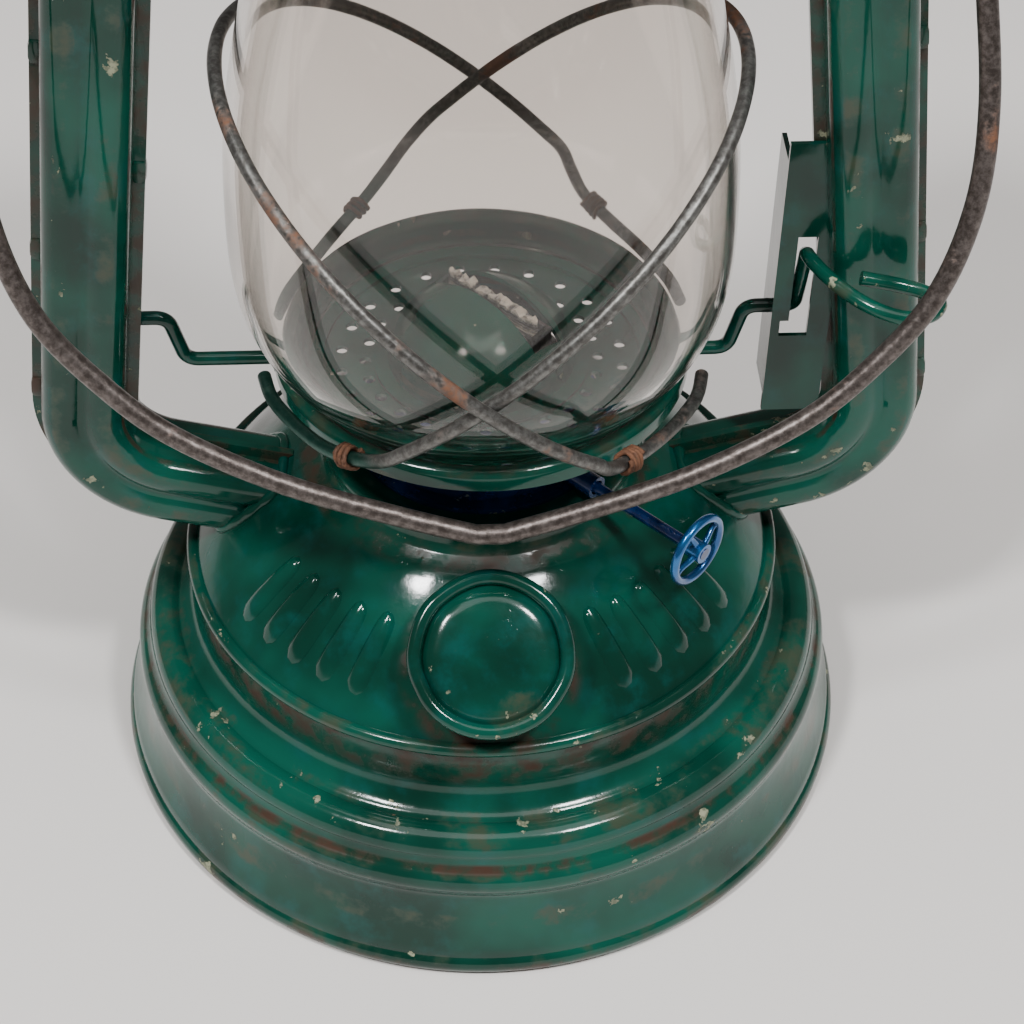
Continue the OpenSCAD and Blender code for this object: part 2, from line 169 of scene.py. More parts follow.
# %% A recipe book for finishes
class Finish:
    def __init__(self, name):
        self.material = bpy.data.materials.new(name)
        self.material.use_nodes = True
        self.tree = self.material.node_tree
        self.tree.nodes.clear()
        self.coords = self.tree.nodes.new("ShaderNodeTexCoord").outputs["Object"]
        split = self.put("ShaderNodeSeparateXYZ", {0: self.coords})
        self.x, self.y, self.z = split.outputs

    def put(self, kind, inputs=None, **settings):
        made = self.tree.nodes.new(kind)
        for key, value in settings.items():
            setattr(made, key, value)
        for key, value in (inputs or {}).items():
            if isinstance(value, bpy.types.NodeSocket):
                self.tree.links.new(value, made.inputs[key])
            else:
                made.inputs[key].default_value = value
        return made

    def calc(self, operation, a, b=0.0, c=0.0):
        return self.put("ShaderNodeMath", {0: a, 1: b, 2: c}, operation=operation).outputs[0]

    def noise(self, scale, detail=4.0, rough=0.55, offset=(0, 0, 0), stretch=(1, 1, 1)):
        moved = self.put("ShaderNodeMapping", {"Vector": self.coords, "Location": offset,
                                               "Scale": stretch}).outputs[0]
        return self.put("ShaderNodeTexNoise", {"Vector": moved, "Scale": scale, "Detail": detail,
                                               "Roughness": rough}).outputs["Fac"]

    def step(self, value, low, high):
        return self.put("ShaderNodeMapRange", {0: value, 1: low, 2: high},
                        interpolation_type="SMOOTHSTEP").outputs[0]

    def band(self, value, centre, half, soft):
        """1 within half of centre, falling to 0 over the distance soft."""
        away = self.calc("ABSOLUTE", self.calc("SUBTRACT", value, centre))
        return self.put("ShaderNodeMapRange", {0: away, 1: half, 2: half + soft, 3: 1.0, 4: 0.0},
                        interpolation_type="SMOOTHSTEP").outputs[0]

    def blend(self, share, a, b):
        a = (*a, 1.0) if isinstance(a, tuple) and len(a) == 3 else a
        b = (*b, 1.0) if isinstance(b, tuple) and len(b) == 3 else b
        return self.put("ShaderNodeMix", {0: share, 6: a, 7: b}, data_type="RGBA").outputs[2]

    def most(self, *values):
        out = values[0]
        for value in values[1:]:
            out = self.calc("MAXIMUM", out, value)
        return out

    def radius(self):
        flat = self.put("ShaderNodeCombineXYZ", {0: self.x, 1: self.y}).outputs[0]
        return self.put("ShaderNodeVectorMath", {0: flat}, operation="LENGTH").outputs["Value"]

    def distance(self, place):
        return self.put("ShaderNodeVectorMath", {0: self.coords, 1: place},
                        operation="DISTANCE").outputs["Value"]

    def relief(self, *layers):
        """A bump whose height is the sum of (value, metres) layers."""
        height = self.calc("MULTIPLY", *layers[0])
        for value, depth in layers[1:]:
            height = self.calc("MULTIPLY_ADD", value, depth, height)
        return self.put("ShaderNodeBump", {"Height": height, "Distance": 1.0,
                                           "Strength": 1.0}).outputs[0]

    def done(self, **sockets):
        shader = self.put("ShaderNodeBsdfPrincipled",
                          {key.replace("_", " "): value for key, value in sockets.items()})
        out = self.put("ShaderNodeOutputMaterial")
        self.tree.links.new(shader.outputs[0], out.inputs[0])
        return self.material


# %% [markdown]
# The green is a clear, bright lacquer over tinned steel, put on thinly, so it has
# cloudy light and dark patches and very sharp highlights. It chips to grey tin where
# the lantern is knocked: along beads, rims and seams. Each piece passes its own list
# of knocked places, as bands of height, radius or depth, and a list of creases,
# grooves and recesses that get painted shade, a dark brown where shade falls there;
# round the cap that brown is rust as well.

# %% Green lacquer
TEAL, DEEP, BLUISH = (0.0, 0.074, 0.048), (0.0, 0.026, 0.016), (0.0, 0.078, 0.070)
TIN, DULL_TIN = (0.29, 0.30, 0.20), (0.12, 0.135, 0.09)
# the dark rust brown is also the colour of the painted shade in creases and recesses
RUST, DARK_RUST_AND_SHADE = (0.20, 0.075, 0.03), (0.045, 0.022, 0.013)
OLIVE = (0.055, 0.052, 0.028)


def lacquer(name, knocks=(), shade_and_grime=(), chip_level=0.728, rust_level=0.715, dents=0.00035):
    f = Finish(name)
    places = {"z": f.z, "y": f.calc("ABSOLUTE", f.y), "r": f.radius()}

    def gather(zones):
        found = [f.band(f.distance(z[1]) if z[0] == "near" else places[z[0]],
                        0.0 if z[0] == "near" else z[1] * MM, z[2] * MM, z[3] * MM)
                 for z in zones]
        return f.most(*found) if found else f.calc("MULTIPLY", f.z, 0.0)

    edge, shade_and_dirt = gather(knocks), gather(shade_and_grime)
    clouds = f.noise(38, 3, 0.5)
    streaks = f.noise(160, 5, 0.6, offset=(3, 1, 7))
    flakes = f.noise(330, 6, 0.62, offset=(9, 4, 2))
    patches = f.noise(85, 3, 0.5, offset=(1, 8, 5))
    colour = f.blend(f.step(clouds, 0.36, 0.66), DEEP, TEAL)
    colour = f.blend(f.calc("MULTIPLY", f.step(streaks, 0.45, 0.75), 0.55), colour, BLUISH)
    # thin brownish lacquer at the knocked edges, before it lets go
    thin = f.step(f.calc("MULTIPLY_ADD", edge, 0.17, f.calc("MULTIPLY", streaks, 0.8)), 0.54, 0.72)
    colour = f.blend(f.calc("MULTIPLY", thin, 0.7), colour, OLIVE)
    # painted shade: creases, grooves and the wall under the shoulder bead are darkened to a dark
    # brown where shade falls; round the cap the brown is rust as well
    painted_shade_and_soil = f.calc("MULTIPLY", shade_and_dirt, f.step(streaks, 0.38, 0.66))
    colour = f.blend(painted_shade_and_soil, colour, DARK_RUST_AND_SHADE)
    # chips: crisp flakes, gathered in patches, many more at the edges
    odds = f.calc("MULTIPLY_ADD", flakes, 0.62, f.calc("MULTIPLY", patches, 0.45))
    odds = f.calc("MULTIPLY_ADD", edge, 0.075, odds)
    chip = f.step(odds, chip_level, chip_level + 0.012)
    tin = f.blend(f.step(f.noise(900, 4, 0.7), 0.4, 0.6), DULL_TIN, TIN)
    colour = f.blend(chip, colour, tin)
    rusty = f.calc("MULTIPLY_ADD", f.most(edge, shade_and_dirt), 0.13,
                   f.calc("MULTIPLY_ADD", f.noise(240, 6, 0.7, offset=(5, 5, 1)), 0.6,
                          f.calc("MULTIPLY", patches, 0.3)))
    rust = f.step(rusty, rust_level, rust_level + 0.05)
    colour = f.blend(rust, colour, f.blend(f.noise(700, 5, 0.7), DARK_RUST_AND_SHADE, RUST))
    bare = f.most(chip, rust, f.calc("MULTIPLY", painted_shade_and_soil, 0.7))
    smear = f.noise(55, 6, 0.7, offset=(2, 2, 8))
    gloss = f.put("ShaderNodeMapRange", {0: smear, 1: 0.3, 2: 0.75, 3: 0.07, 4: 0.19}).outputs[0]
    rough = f.put("ShaderNodeMix", {0: bare, 2: gloss, 3: 0.68}).outputs[0]
    scratch = f.noise(420, 3, 0.6, stretch=(1, 1, 0.06))
    normal = f.relief((f.noise(30, 2, 0.4, offset=(4, 0, 6)), dents),
                      (f.noise(130, 2, 0.5), 0.00010), (flakes, 0.00003),
                      (f.step(scratch, 0.66, 0.70), -0.00001), (chip, -0.00007),
                      (f.calc("MULTIPLY", rust, f.noise(1500, 3, 0.7)), 0.00012))
    return f.done(Base_Color=colour, Roughness=rough, Normal=normal, Metallic=0.0,
                  Specular_IOR_Level=0.28, Coat_Weight=0.2, Coat_Roughness=0.05)


CAP_PLACE = (0, -0.0435, 0.052)
# the grime lists are creases and recesses that get painted shade, a dark brown; near the cap it is
# rust as well
skirt_lacquer = lacquer("skirt_lacquer",
                        knocks=[("z", 27.2, 0.6, 1.2), ("z", 21.6, 0.5, 0.9), ("z", 1.6, 2.0, 1.6),
                                ("z", 38.6, 1.2, 1.5), ("r", 62.9, 0.3, 0.5)],
                        shade_and_grime=[("z", 37, 2.2, 4), ("z", 22.4, 0.4, 0.7), ("z", 0.6, 0.9, 1.6)])
dome_lacquer = lacquer("dome_lacquer",
                       knocks=[("r", 51.8, 1.0, 0.9), ("r", 26.6, 0.7, 0.8)],
                       shade_and_grime=[("near", CAP_PLACE, 13.4, 2.6), ("r", 29.4, 0.8, 1.6)])
tube_lacquer = lacquer("tube_lacquer",
                       knocks=[("y", 0.0, 0.85, 0.4), ("y", 7.5, 0.16, 0.35)],
                       shade_and_grime=[("y", 1.1, 0.25, 0.5), ("y", 5.4, 0.2, 0.5)])
CAP_KNOCK = (0.004, -0.054, 0.052)
cap_lacquer = lacquer("cap_lacquer", knocks=[("near", CAP_KNOCK, 3.0, 5.0)], chip_level=0.67)
sheet_lacquer = lacquer("sheet_lacquer", chip_level=0.715)
lever_lacquer = lacquer("lever_lacquer", knocks=[("y", 13, 3, 3)], chip_level=0.69, dents=0.00005)
carrier_lacquer = lacquer("carrier_lacquer", knocks=[("z", 85.9, 0.5, 0.5), ("z", 83, 0.5, 0.6)])
print("lacquers made")

# %% [markdown]
# The burner is the same lacquer in dark blue, and the wick wheel a brighter metallic
# blue. The wires are bare drawn steel that has gone grey-brown, with rust in patches
# and a faint grain along them.

# %% Blue lacquers and bare wire
def blue_lacquer(name, dark, light, metallic):
    f = Finish(name)
    cloud = f.noise(120, 4, 0.6)
    worn = f.step(f.noise(420, 6, 0.65, offset=(2, 6, 1)), 0.63, 0.66)
    colour = f.blend(f.step(cloud, 0.35, 0.65), dark, light)
    colour = f.blend(worn, colour, DULL_TIN)
    rough = f.put("ShaderNodeMix", {0: worn, 2: 0.24, 3: 0.6}).outputs[0]
    normal = f.relief((cloud, 0.00012), (worn, -0.00004))
    return f.done(Base_Color=colour, Roughness=rough, Normal=normal, Metallic=metallic,
                  Coat_Weight=0.6, Coat_Roughness=0.07)


navy_lacquer = blue_lacquer("navy_lacquer", (0.0, 0.008, 0.045), (0.004, 0.03, 0.14), 0.2)
wheel_lacquer = blue_lacquer("wheel_lacquer", (0.005, 0.06, 0.20), (0.01, 0.14, 0.38), 0.7)


def bare_wire(name, grey, brown, rust_from, painted=False):
    f = Finish(name)
    grain = f.noise(900, 5, 0.7)
    blotch = f.noise(70, 4, 0.6, offset=(7, 3, 3))
    rusty = f.step(f.calc("MULTIPLY_ADD", grain, 0.25, f.calc("MULTIPLY", blotch, 0.9)),
                   rust_from, rust_from + 0.12)
    colour = f.blend(f.step(grain, 0.35, 0.7), brown, grey)
    colour = f.blend(rusty, colour, f.blend(grain, DARK_RUST_AND_SHADE, (0.26, 0.11, 0.055)))
    if painted:  # the lacquer that is left on the lower left ends
        low = f.calc("MULTIPLY_ADD", blotch, 0.008, f.z)
        left = f.step(f.calc("MULTIPLY", low, -1.0), -0.098, -0.094)
        left = f.calc("MULTIPLY", left, f.step(f.calc("MULTIPLY", f.x, -1.0), 0.002, 0.007))
        colour = f.blend(f.calc("MULTIPLY", left, 0.85), colour, (0.0, 0.06, 0.042))
    metal = f.put("ShaderNodeMapRange", {0: rusty, 3: 0.75, 4: 0.15}).outputs[0]
    rough = f.put("ShaderNodeMapRange", {0: rusty, 3: 0.38, 4: 0.8}).outputs[0]
    normal = f.relief((grain, 0.00006), (blotch, 0.00015),
                      (f.calc("MULTIPLY", rusty, f.noise(2200, 3, 0.7)), 0.00012))
    return f.done(Base_Color=colour, Roughness=rough, Normal=normal, Metallic=metal)


bail_steel = bare_wire("bail_steel", (0.17, 0.145, 0.135), (0.06, 0.048, 0.043), 0.68)
guard_steel = bare_wire("guard_steel", (0.20, 0.20, 0.19), (0.08, 0.075, 0.07), 0.60, painted=True)
tie_steel = bare_wire("tie_steel", (0.16, 0.10, 0.07), (0.07, 0.03, 0.02), 0.45)
print("blues and steels made")

# %% [markdown]
# The globe is clear blown glass with a faint warm tint that shows where the eye looks
# through four walls of it. The wick is woven cotton, charred brown and black above its
# tube and ashy white at its frayed edge.

# %% Glass, cotton and gasket
def globe_glass_finish():
    f = Finish("globe_glass")
    haze = f.noise(24, 4, 0.6)
    wave = f.noise(18, 2, 0.4, offset=(3, 3, 3))
    rough = f.put("ShaderNodeMapRange", {0: haze, 1: 0.45, 2: 0.8, 3: 0.012, 4: 0.05}).outputs[0]
    return f.done(Base_Color=(0.925, 0.88, 0.84, 1), Roughness=rough, Transmission_Weight=1.0,
                  IOR=1.46, Normal=f.relief((wave, 0.00025)))


def cotton_finish():
    f = Finish("wick_cotton")
    weave = f.put("ShaderNodeTexWave", {"Vector": f.coords, "Scale": 520.0, "Distortion": 1.2,
                                        "Detail": 1.0}, bands_direction="Z").outputs["Fac"]
    fray = f.noise(520, 4, 0.7)
    height = f.calc("MULTIPLY_ADD", fray, 0.004, f.z)
    char = f.step(height, 0.0905, 0.0935)
    ash = f.step(height, 0.0937, 0.0948)
    colour = f.blend(weave, (0.42, 0.37, 0.28), (0.66, 0.60, 0.48))
    colour = f.blend(char, colour, (0.03, 0.022, 0.018))
    colour = f.blend(ash, colour, (0.74, 0.68, 0.58))
    return f.done(Base_Color=colour, Roughness=0.95, Sheen_Weight=0.3,
                  Normal=f.relief((weave, 0.00012), (fray, 0.0005)))


def gasket_finish():
    f = Finish("gasket_cork")
    grain = f.noise(1200, 4, 0.7)
    return f.done(Base_Color=f.blend(grain, (0.05, 0.035, 0.025), (0.16, 0.12, 0.08)),
                  Roughness=0.9, Normal=f.relief((grain, 0.0001)))


globe_glass = globe_glass_finish()
wick_cotton = cotton_finish()
gasket_cork = gasket_finish()

# %% [markdown]
# CAD pieces whose shape is right stay. Modifiers weld them and split their sharp edges.
# Their faces are flagged smooth and a stored normal layer is dropped, no vertex or face
# is changed, and they get their finish.

# %% Dress the pieces that stay
def dress(names, material, split=35):
    for name in names:
        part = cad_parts[name]
        part.data.materials.clear()
        part.data.materials.append(material)
        part.data.polygons.foreach_set("use_smooth", [True] * len(part.data.polygons))
        part.data.polygons.foreach_set("material_index", [0] * len(part.data.polygons))
        if "custom_normal" in part.data.attributes:
            part.data.attributes.remove(part.data.attributes["custom_normal"])
        weld = part.modifiers.new("weld", "WELD")
        weld.merge_threshold = 0.000004
        edges = part.modifiers.new("edges", "EDGE_SPLIT")
        edges.split_angle = math.radians(split)
    print("dressed", ", ".join(names), "in", material.name)


dress(["fount_base_plate"], skirt_lacquer)
dress(["left_tube_front", "left_tube_back", "right_tube_front", "right_tube_back"],
      tube_lacquer, 40)
dress(["crown_floor", "crown_cover", "chimney_tube", "hood_posts", "left_bail_ear",
       "right_bail_ear", "lever_bracket", "filler_neck"], sheet_lacquer)
dress(["perforated_plate", "burner_cone"], carrier_lacquer)
dress(["burner_body", "wick_shaft", "shaft_sleeve"], navy_lacquer)
dress(["wick_tube", "spur_wheels", "chimney_spring", "top_ring"], guard_steel)
dress(["cap_gasket"], gasket_cork)

# %% [markdown]
# ## The fount
# The skirt is one sheet: a plain wall that runs in under the shoulder, two rolled beads
# and a flared foot that ends in a wired rim. The same arcs as in the CAD model are
# turned with finer steps, and the wall gets the shallow dents of a lantern in use.

# %% Skirt and foot rim
SHEET = 0.8
WALL_R, SHOULDER_Z, RIM = 51.2, 41.0, (63.8, 1.9)
skirt_line = ([(WALL_R, 39.78), (WALL_R, 38), (WALL_R, 36)]
              + arc((56.4, 32.6), 5.2, 180, 250, 14)
              + arc((56.9, 24.6), 3.3, 125, -10, 22)
              + arc((59.4, 19.2), 3.3, 58, -32, 16)
              + arc((98, 20), 36.2, 185.5, 204.5, 16)
              + [(RIM[0] + 1.45, 3.4)])
skirt = new_piece("skirt_shell", *turned(thicken(skirt_line, SHEET), dents=0.28, seed=1.7),
                  "lamp_frame", "enamel", skirt_lacquer)
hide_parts("fount_skirt")
rim_wire = [(r, max(z, 0.0)) for r, z in arc(RIM, 2.2, 0, 345, 23)]
new_piece("foot_rim", *turned(rim_wire), "lamp_frame", "enamel", skirt_lacquer)

# %% Domed top with its rolled shoulder bead
COLLAR_R, NECK_R, NECK_Z = 20.0, 27.0, 66.0
DOME_C = (-8.0, 1.0)
DOME_R = math.hypot(51 - DOME_C[0], SHOULDER_Z - DOME_C[1])
dome_line = ([(COLLAR_R + 1, NECK_Z), (NECK_R - 3, NECK_Z)]
             + arc((NECK_R - 1.2, NECK_Z - 1.2), 1.2, 90, 0, 8)
             + arc((NECK_R + 3.4, 64.6), 3.4, 190, 232, 8)
             + arc(DOME_C, DOME_R, 57, math.degrees(math.asin((SHOULDER_Z - 1) / DOME_R)), 40))


def dome_height(r):
    return DOME_C[1] + math.sqrt(DOME_R ** 2 - (r - DOME_C[0]) ** 2)


FILLER_R, CAP_TILT = 41.0, math.radians(41)
cap_seat = (Matrix.Translation(Vector((0, -FILLER_R, dome_height(FILLER_R))) * MM)
            @ Matrix.Rotation(CAP_TILT, 4, "X"))


def drop_faces_near_filler(vertices, faces, hole=10.1):
    """Leaves the filler hole open in the turned dome."""
    back = cap_seat.inverted()
    local = [back @ Vector(v) for v in vertices]
    kept = []
    for face in faces:
        middle = sum((local[i] for i in face), Vector()) / len(face)
        if abs(middle.z) > 6 * MM or math.hypot(middle.x, middle.y) > hole * MM:
            kept.append(face)
    return vertices, kept


DOME_STEPS = 288  # fine enough for a clean edge at the filler hole
dome_skin = turned(thicken(dome_line, SHEET), DOME_STEPS, dents=0.22, seed=4.2)
dome = new_piece("dome_shell", *drop_faces_near_filler(*dome_skin),
                 "lamp_frame", "enamel", dome_lacquer)
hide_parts("fount_dome")
BEAD_AT, BEAD_R = 51, 1.2
bead = [(BEAD_AT + BEAD_R * math.cos(a), SHOULDER_Z + BEAD_R * math.sin(a)) for a in full_turn(16)]
new_piece("shoulder_bead", *turned(bead, dents=0.12, seed=2.0),
          "lamp_frame", "enamel", dome_lacquer)

# %% [markdown]
# Either side of the cap the dome is embossed. A plain row of raised bars stands there:
# each is a small cushion shape laid on the dome, so it takes the same long highlights
# as any pressed mark, and says nothing.

# %% Embossed bars beside the cap
def embossed_bar(turn, radius, length, width, slant, height=1.15):
    """A low rounded bar on the dome; turn is the angle from the front, in degrees."""
    vertices, faces = [], []
    rows, columns = 14, 9
    for i in range(rows + 1):
        for j in range(columns + 1):
            u, v = 2 * i / rows - 1, 2 * j / columns - 1
            reach = (1 - abs(u) ** 4) ** 0.5
            along = u * length / 2
            across = v * width / 2 * (0.35 + 0.65 * reach)
            r = radius + along * math.cos(slant) - across * math.sin(slant)
            sideways = along * math.sin(slant) + across * math.cos(slant)
            a = math.radians(turn - 90) + sideways / radius
            rise = height * reach * max(0.0, 1 - v * v) ** 0.75 - 0.12
            vertices.append(Vector((r * math.cos(a), r * math.sin(a), dome_height(r) + rise)) * MM)
    for i in range(rows):
        for j in range(columns):
            k = i * (columns + 1) + j
            faces.append((k, k + columns + 1, k + columns + 2, k + 1))
    return vertices, faces


def joined(parts):
    vertices, faces = [], []
    for some, their_faces in parts:
        start = len(vertices)
        vertices += list(some)
        faces += [tuple(i + start for i in face) for face in their_faces]
    return vertices, faces


bars = []
for side in (-1, 1):
    for n in range(5):
        bars.append(embossed_bar(side * (26.5 + 7.6 * n), 42.6, 10.4, 3.6, side * math.radians(14)))
new_piece("embossed_bars", *joined(bars), "lamp_frame", "enamel", dome_lacquer)

# %% Soldered foot of the filler neck
SOLDER_R = 10.6
neck_ring = [cap_seat @ (Vector((SOLDER_R * math.cos(a), SOLDER_R * math.sin(a),
                                 -0.5 * math.sin(a) ** 2)) * MM) / MM for a in full_turn(72)]
new_piece("neck_solder", *rod(neck_ring, lambda i: 0.8 + 0.15 * math.sin(i * 0.9), 12, closed=True),
          "lamp_frame", "enamel", dome_lacquer)

# %% [markdown]
# ## The filler cap
# A spun cap: a crowned disc, dished a little just inside a fat rolled rim, over a
# straight skirt. Turned about its own axis, with a few small dents, it rides on the
# screw cap's body, so it turns and rises when the joint does.

# %% Filler cap
CAP_R = 13.5
cap_line = (arc((0, -58.4), 65, 90, 82.2, 14) + [(CAP_R - 3.2, 5.6), (CAP_R - 2.75, 5.2)]
            + [(r, z) for r, z in arc((CAP_R - 1.25, 5.3), 1.25, 200, -60, 22)]
            + [(CAP_R - 1.1, 3.6), (CAP_R - 1.1, 0.2), (CAP_R - 1.7, 0.2), (CAP_R - 1.7, 4.4),
               (CAP_R - 4, 4.9)] + arc((0, -59.1), 65, 82, 90, 10))


def place(shape, matrix):
    vertices, faces = shape
    return [matrix @ Vector(v) for v in vertices], faces


cap_lifted = cap_seat @ Matrix.Translation((0, 0, 0.6 * MM))
cap = new_piece("cap_shell", *place(turned(cap_line, 144, dents=0.22, seed=8.8), cap_lifted),
                "screw_cap", "enamel", cap_lacquer)
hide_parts("filler_cap")

# %% [markdown]
# ## The side tubes
# The tubes are CAD pieces and stay. What a stand-in would leave out is added here: the
# lock tabs folded over the seam flange, and the lumpy solder where each tube runs
# into the dome. The solder follows the true line where the two surfaces meet.

# %% Lock tabs on the seam flanges
LEAN, ELBOW_C, ELBOW_R = math.radians(7.2), (49.6, 72.5), 16.5
LEG_X = ELBOW_C[0] + ELBOW_R * math.cos(LEAN)
LEG_BOTTOM = ELBOW_C[1] + ELBOW_R * math.sin(LEAN)
TUBE_W = 17.4


def pillow(size, steps=8, power=5.0):
    """A box with softly rounded sides, as folded sheet has."""
    vertices, faces = [], []
    for i in range(steps + 1):
        lat = math.pi * (i / steps - 0.5)
        for j in range(2 * steps):
            lon = math.pi * j / steps
            d = Vector((math.cos(lat) * math.cos(lon), math.cos(lat) * math.sin(lon),
                        math.sin(lat)))
            reach = sum(abs(c) ** power for c in d) ** (-1 / power)
            vertices.append(Vector((d.x * size[0], d.y * size[1], d.z * size[2])) * reach * MM / 2)
    around = 2 * steps
    for i in range(steps):
        for j in range(around):
            k = (j + 1) % around
            faces.append((i * around + j, i * around + k,
                          (i + 1) * around + k, (i + 1) * around + j))
    return vertices, faces


tabs = []
for side in (-1, 1):
    for height, edge in ((76.8, 1), (105.6, 1), (142, 1), (172, 1), (120, -1), (160, -1)):
        middle = LEG_X - (height - LEG_BOTTOM) * math.tan(LEAN)
        x = middle + edge * (TUBE_W / 2 - 0.95) / math.cos(LEAN)
        spot = (Matrix.Translation(Vector((side * x, 0, height)) * MM)
                @ Matrix.Rotation(-side * LEAN, 4, "Y"))
        tabs.append(place(pillow((2.3, 2.5, 4.2)), spot))
new_piece("seam_tabs", *joined(tabs), "lamp_frame", "enamel", tube_lacquer)

# %% Solder where the tubes meet the dome
STUB = math.radians(15)
stub_start = Vector((ELBOW_C[0] + ELBOW_R * math.sin(STUB), 0,
                     ELBOW_C[1] - ELBOW_R * math.cos(STUB)))
stub_way = Vector((-math.cos(STUB), 0, -math.sin(STUB)))
stub_up = Vector((-math.sin(STUB), 0, math.cos(STUB)))


def meeting_point(u, v):
    """Where the tube line at u up and v forward runs into the dome."""
    low, high = -4.0, 34.0
    for _ in range(40):
        s = (low + high) / 2
        p = stub_start + stub_way * s + stub_up * u + Vector((0, -v, 0))
        r = math.hypot(p.x, p.y)
        inside = r < 50.8 and p.z < dome_height(max(r, 27))
        low, high = (low, s) if inside else (s, high)
    return p


seams = []
for side in (-1, 1):
    loop = []
    for a in full_turn(64):
        c, s = math.cos(a), math.sin(a)
        round_off = (abs(c) ** 3.4 + abs(s) ** 3.4) ** (-1 / 3.4)
        p = meeting_point(7.1 * c * round_off, 7.7 * s * round_off)
        loop.append((side * p.x, p.y, p.z))
    lumpy = lambda i, k=side: 1.0 + 0.45 * noise.noise(Vector((i * 0.35, k, 0)))
    seams.append(rod(loop, lumpy, 12, closed=True))
new_piece("tube_solder", *joined(seams), "lamp_frame", "enamel", dome_lacquer)

# %% [markdown]
# ## Burner collar and burner
# The collar is a short blue band standing on the neck, with a rolled top edge. Its
# rim is turned again for a clean highlight; the burner inside it stays as it is.

# %% Burner collar
collar_line = ([(17.4, 70.3), (17.4, 66.03)] + [(COLLAR_R + 2.4, 66.03), (COLLAR_R + 2.4, 66.9),
               (COLLAR_R, 67.1), (COLLAR_R, 69.6)] + arc((COLLAR_R, 70.4), 0.7, -70, 180, 12))
collar = new_piece("collar_band", *turned(collar_line, 144),
                   "lamp_frame", "navy_enamel", navy_lacquer)
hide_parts("burner_collar")

# %% [markdown]
# The wick wheel is a small open wheel: a round rim, four thin round spokes and a hub on the
# shaft. It is built around the Z axis and then laid along the shaft.

# %% Wick wheel
WICK_TURN, WHEEL_AT, WHEEL_R = math.radians(-44.5), 47.3, 6.5
wheel_seat = (Matrix.Rotation(WICK_TURN, 4, "Z")
              @ Matrix.Translation(Vector((WHEEL_AT, -1.0, 68.4)) * MM)
              @ Matrix.Rotation(math.radians(90), 4, "Y"))
rim_path = [((WHEEL_R - 0.75) * math.cos(a), (WHEEL_R - 0.9) * math.sin(a), 0)
            for a in full_turn(72)]
wheel_parts = [rod(rim_path, 0.75, 14, closed=True),
               rod([(0, 0, -1.5), (0, 0, -1.2), (0, 0, 0), (0, 0, 1.2), (0, 0, 1.5)], 1.7, 24)]
for k in range(4):
    a = math.radians(90 * k + 20)
    spoke = [(q * math.cos(a + 0.02 * q), q * math.sin(a + 0.02 * q), 0.25 * math.sin(q))
             for q in np.linspace(1.5, 5.7, 9)]
    wheel_parts.append(rod(spoke, lambda i: 0.6 - 0.1 * math.sin(math.pi * i / 8), 12))
wheel = new_piece("wick_wheel", *place(joined(wheel_parts), wheel_seat),
                  "wick_gear", "blue_metal", wheel_lacquer)
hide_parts("wick_knob")

# %% [markdown]
# The wick is a flat woven strip. Its top edge is frayed: each column of its grid ends
# at its own height, and the face waves a little, as cotton does.

# %% Wick
WICK_W, WICK_T, WICK_LOW, WICK_TOP = 19.4, 2.0, 16.5, 93.5


def frayed_wick(columns=44, rows=60):
    vertices, faces = [], []
    for face in (-1, 1):
        for i in range(columns + 1):
            u = -1 + 2 * i / columns
            ragged = (0.9 * noise.noise(Vector((u * 9, face * 0.4, 2)))
                      + 0.7 * noise.noise(Vector((u * 31, 0, 5))))
            top = WICK_TOP - 0.9 + max(min(ragged, 0.9), -1.6)
            for j in range(rows + 1):
                t = j / rows
                z = WICK_LOW + (top - WICK_LOW) * t
                thin = 1.0 if t < 0.96 else 0.75 + 0.25 * noise.noise(Vector((u * 12, z, face)))
                half = WICK_T / 2 * thin * max(0.2, 1 - abs(u) ** 12)
                vertices.append(Vector((u * WICK_W / 2, face * half, z)) * MM)
    step = rows + 1
    back = (columns + 1) * step
    for i in range(columns):
        for j in range(rows):
            k = i * step + j
            faces.append((k, k + step, k + step + 1, k + 1))
            faces.append((back + k, back + k + 1, back + k + step + 1, back + k + step))
        faces.append((i * step + rows, (i + 1) * step + rows,
                      back + (i + 1) * step + rows, back + i * step + rows))
        faces.append((i * step, back + i * step, back + (i + 1) * step, (i + 1) * step))
    for i, flip in ((0, False), (columns, True)):
        for j in range(rows):
            k = i * step + j
            quad = (k, k + 1, back + k + 1, back + k)
            faces.append(quad[::-1] if flip else quad)
    return vertices, faces


wick_seat = Matrix.Rotation(WICK_TURN, 4, "Z") @ Matrix.Translation((0, 2.6 * MM, 0))
wick = new_piece("wick_strip_cloth", *place(frayed_wick(), wick_seat),
                 "wick_strip", "wick_cotton", wick_cotton)
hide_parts("wick")

# %% [markdown]
# ## The globe carriage
# Everything that the lever lifts: the rolled carrier with two lift feet, the
# perforated plate, the cone, the glass and its crossed guard wires.

